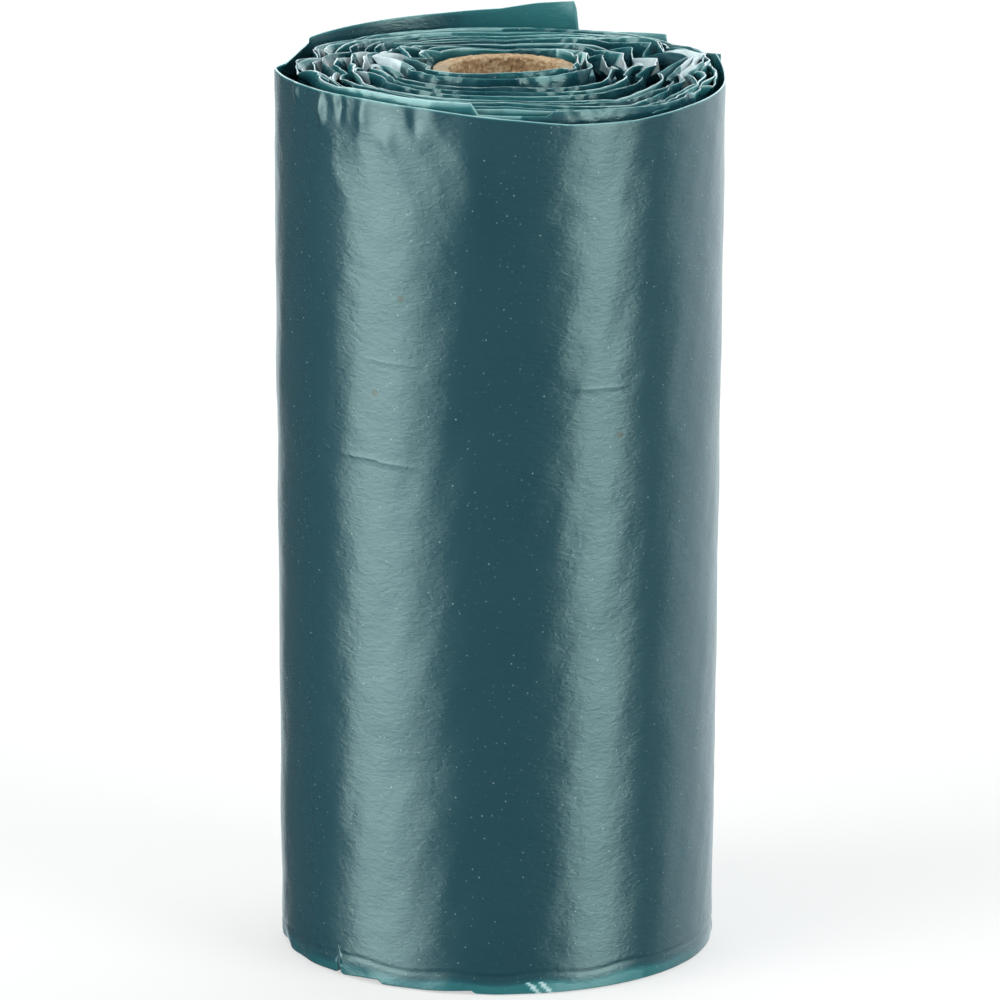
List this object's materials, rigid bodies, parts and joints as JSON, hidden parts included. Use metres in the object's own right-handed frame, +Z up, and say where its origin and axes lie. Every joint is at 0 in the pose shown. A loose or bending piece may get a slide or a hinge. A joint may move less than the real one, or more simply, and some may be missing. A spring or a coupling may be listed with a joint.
{
  "type": "roll of dog waste bags",
  "caption": "Standing roll of thin teal film bags, folded lengthways and wound on a paper core, with the crumpled edges of its turns showing as a spiral at both ends.",
  "frame": {"origin": "on the core's axis, at the bottom end of the core, where the roll stands", "axes": "+Z up along the core's axis, -Y towards the viewer of the picture, +X to the right"},
  "size_m": [0.0322, 0.0325, 0.0661],
  "materials": {
    "core_paper": "raw grey-brown paperboard",
    "bag_film": "satin thin film, dark teal in many layers and lighter in one"
  },
  "bodies": {
    "root": {"core": "core_paper", "bag_web": "bag_film"}
  },
  "joints": []
}
